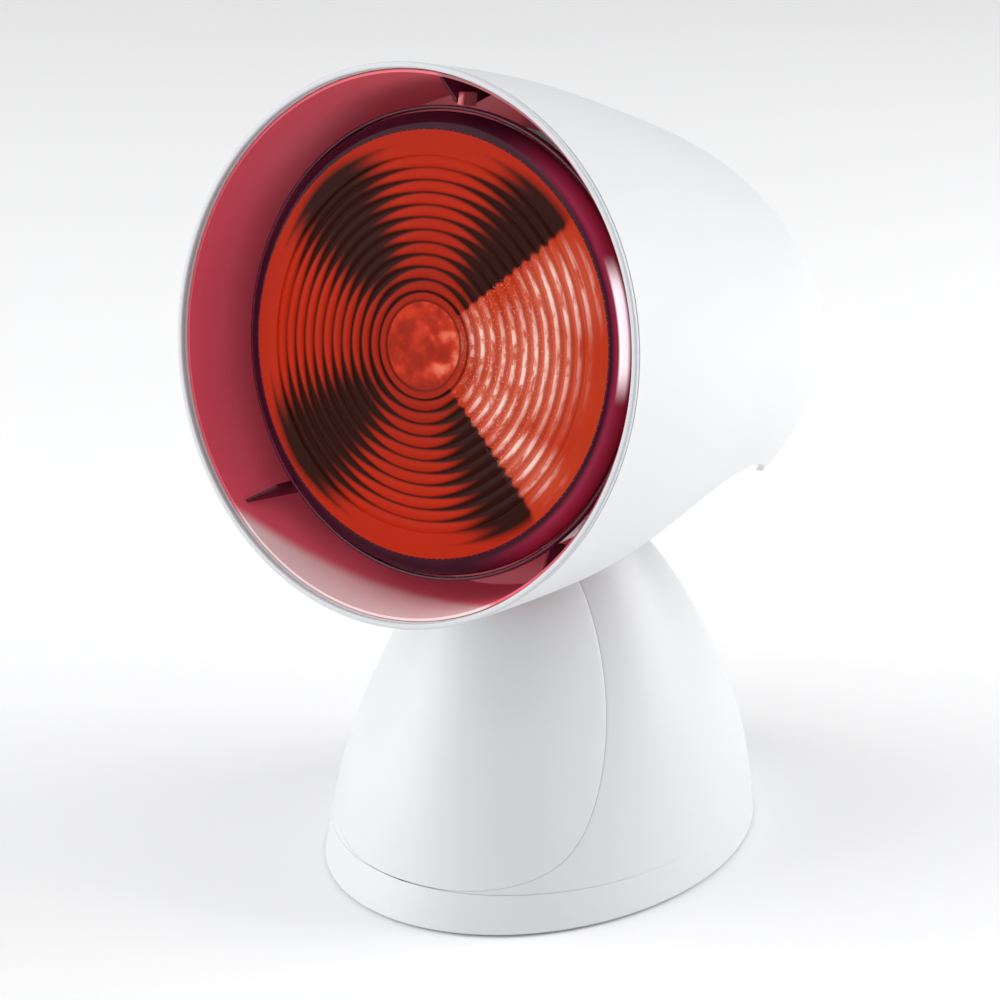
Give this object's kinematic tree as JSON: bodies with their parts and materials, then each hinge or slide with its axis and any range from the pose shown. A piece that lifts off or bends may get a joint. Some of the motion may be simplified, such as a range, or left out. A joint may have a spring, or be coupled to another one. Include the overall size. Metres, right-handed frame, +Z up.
{
  "type": "infrared heat therapy lamp",
  "caption": "Heat therapy lamp: a round shade with a ribbed reflector bulb behind a guard ring, tilting by friction hinge on a rounded weighted stand with a rear rocker switch.",
  "frame": {"origin": "middle of the lamp's depth and width, on the surface that the feet stand on", "axes": "+Z up, the shade's mouth faces -Y, +X is the right side when looking along +Y"},
  "size_m": [0.1454, 0.2022, 0.2356],
  "materials": {
    "white_plastic": "satin white moulded plastic",
    "crimson_metal": "glossy crimson enamel on thin steel",
    "ruby_glass": "dark ruby glass, mirrored inside",
    "orange_glass": "ribbed orange-red glass",
    "clear_glass": "clear glass",
    "steel": "zinc plated steel",
    "nickel": "nickel plate",
    "brass": "plain brass",
    "iron": "blackened cast iron",
    "ceramic": "unglazed steatite",
    "black_plastic": "fine-grained black",
    "grey_plastic": "plain grey",
    "black_rubber": "matt"
  },
  "bodies": {
    "stand": {"rear_shell": "white_plastic", "front_cover": "white_plastic", "bottom_plate": "grey_plastic", "ballast_plate": "iron", "foot_front_left": "black_rubber", "foot_front_right": "black_rubber", "foot_rear_left": "black_rubber", "foot_rear_right": "black_rubber", "base_screw_front_left": "steel", "base_screw_front_right": "steel", "base_screw_rear_left": "steel", "base_screw_rear_right": "steel", "mast": "steel", "mast_screw_left": "steel", "mast_screw_right": "steel", "yoke": "steel", "yoke_screw_front": "steel", "yoke_screw_rear": "steel", "hinge_bolt_left": "steel", "hinge_bolt_right": "steel", "friction_washer_left": "black_plastic", "friction_washer_right": "black_plastic", "spring_washer_left": "steel", "spring_washer_right": "steel", "hinge_nut_left": "steel", "hinge_nut_right": "steel", "switch_housing": "black_plastic", "cord_gland": "black_plastic", "gland_nut": "grey_plastic", "terminal_block": "white_plastic", "switch_lead": "black_plastic", "riser_lead": "grey_plastic"},
    "shade": {"shade_shell": "white_plastic", "rim_ring": "white_plastic", "shade_liner": "crimson_metal", "guard_ring": "crimson_metal", "web_top": "crimson_metal", "web_right": "crimson_metal", "web_left": "crimson_metal", "web_clip": "crimson_metal", "bulb_lens": "orange_glass", "bulb_bowl": "ruby_glass", "bulb_cap": "nickel", "bulb_insulator": "black_plastic", "bulb_contact": "brass", "bulb_stem": "clear_glass", "bulb_filament": "nickel", "socket_body": "ceramic", "socket_sleeve": "brass", "socket_tongue": "brass", "socket_screw_left": "steel", "socket_screw_right": "steel", "socket_stirrup": "steel", "stirrup_screw_left": "steel", "stirrup_screw_right": "steel", "hinge_bracket": "steel", "bracket_screw_left": "steel", "bracket_screw_right": "steel", "shade_lead": "grey_plastic"},
    "rocker": {"switch_rocker": "black_plastic"}
  },
  "joints": [
    {"name": "shade_tilt", "type": "hinge", "parent": "stand", "child": "shade", "pos_m": [0, -0.01163, 0.089], "axis": [-1, 0, 0], "range_deg": [0, 40]},
    {"name": "rocker_press", "type": "hinge", "parent": "stand", "child": "rocker", "pos_m": [0, 0.04213, 0.04208], "axis": [-1, 0, 0], "range_deg": [0, 16]}
  ]
}
